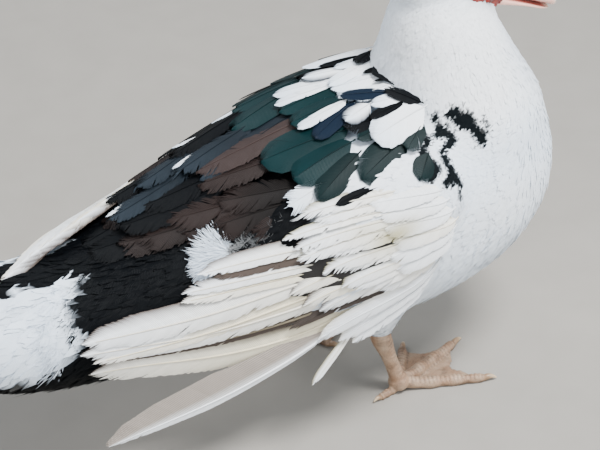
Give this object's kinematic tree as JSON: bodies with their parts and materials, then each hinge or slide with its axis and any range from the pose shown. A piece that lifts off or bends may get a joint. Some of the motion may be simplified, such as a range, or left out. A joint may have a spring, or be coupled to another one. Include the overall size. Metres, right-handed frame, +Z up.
{
  "type": "muscovy duck",
  "caption": "Still, life-size museum-type model of a standing domestic muscovy duck, black and white, wings loosely folded.",
  "frame": {"origin": "on the floor under the middle of the whole duck's box", "axes": "+X to the bill, +Y to the duck's left, +Z up"},
  "size_m": [0.654, 0.2302, 0.3829],
  "materials": {
    "white_plumage": "soft overlapping white body feathers",
    "black_plumage": "loose black feathers with a blue-green gloss",
    "flight_feathers": "worn cream-white and brown-black wing and tail quills",
    "leg_skin": "scaled tan-orange skin, satin",
    "claw_horn": "pale brown horn",
    "bill_horn": "smooth pink horn",
    "eye": "wet, glossy dark brown"
  },
  "bodies": {
    "root": {"torso": "white_plumage", "rump": "black_plumage", "neck": "white_plumage", "head": "white_plumage", "bill_upper": "bill_horn", "bill_lower": "bill_horn", "eye_right": "eye", "eye_left": "eye", "wing_right": "flight_feathers", "wing_left": "flight_feathers", "tail": "flight_feathers", "thigh_right": "white_plumage", "thigh_left": "white_plumage", "shank_right": "leg_skin", "shank_left": "leg_skin", "foot_right": "leg_skin", "foot_left": "leg_skin", "claw_inner_right": "claw_horn", "claw_middle_right": "claw_horn", "claw_outer_right": "claw_horn", "claw_hind_right": "claw_horn", "claw_inner_left": "claw_horn", "claw_middle_left": "claw_horn", "claw_outer_left": "claw_horn", "claw_hind_left": "claw_horn"}
  },
  "joints": []
}
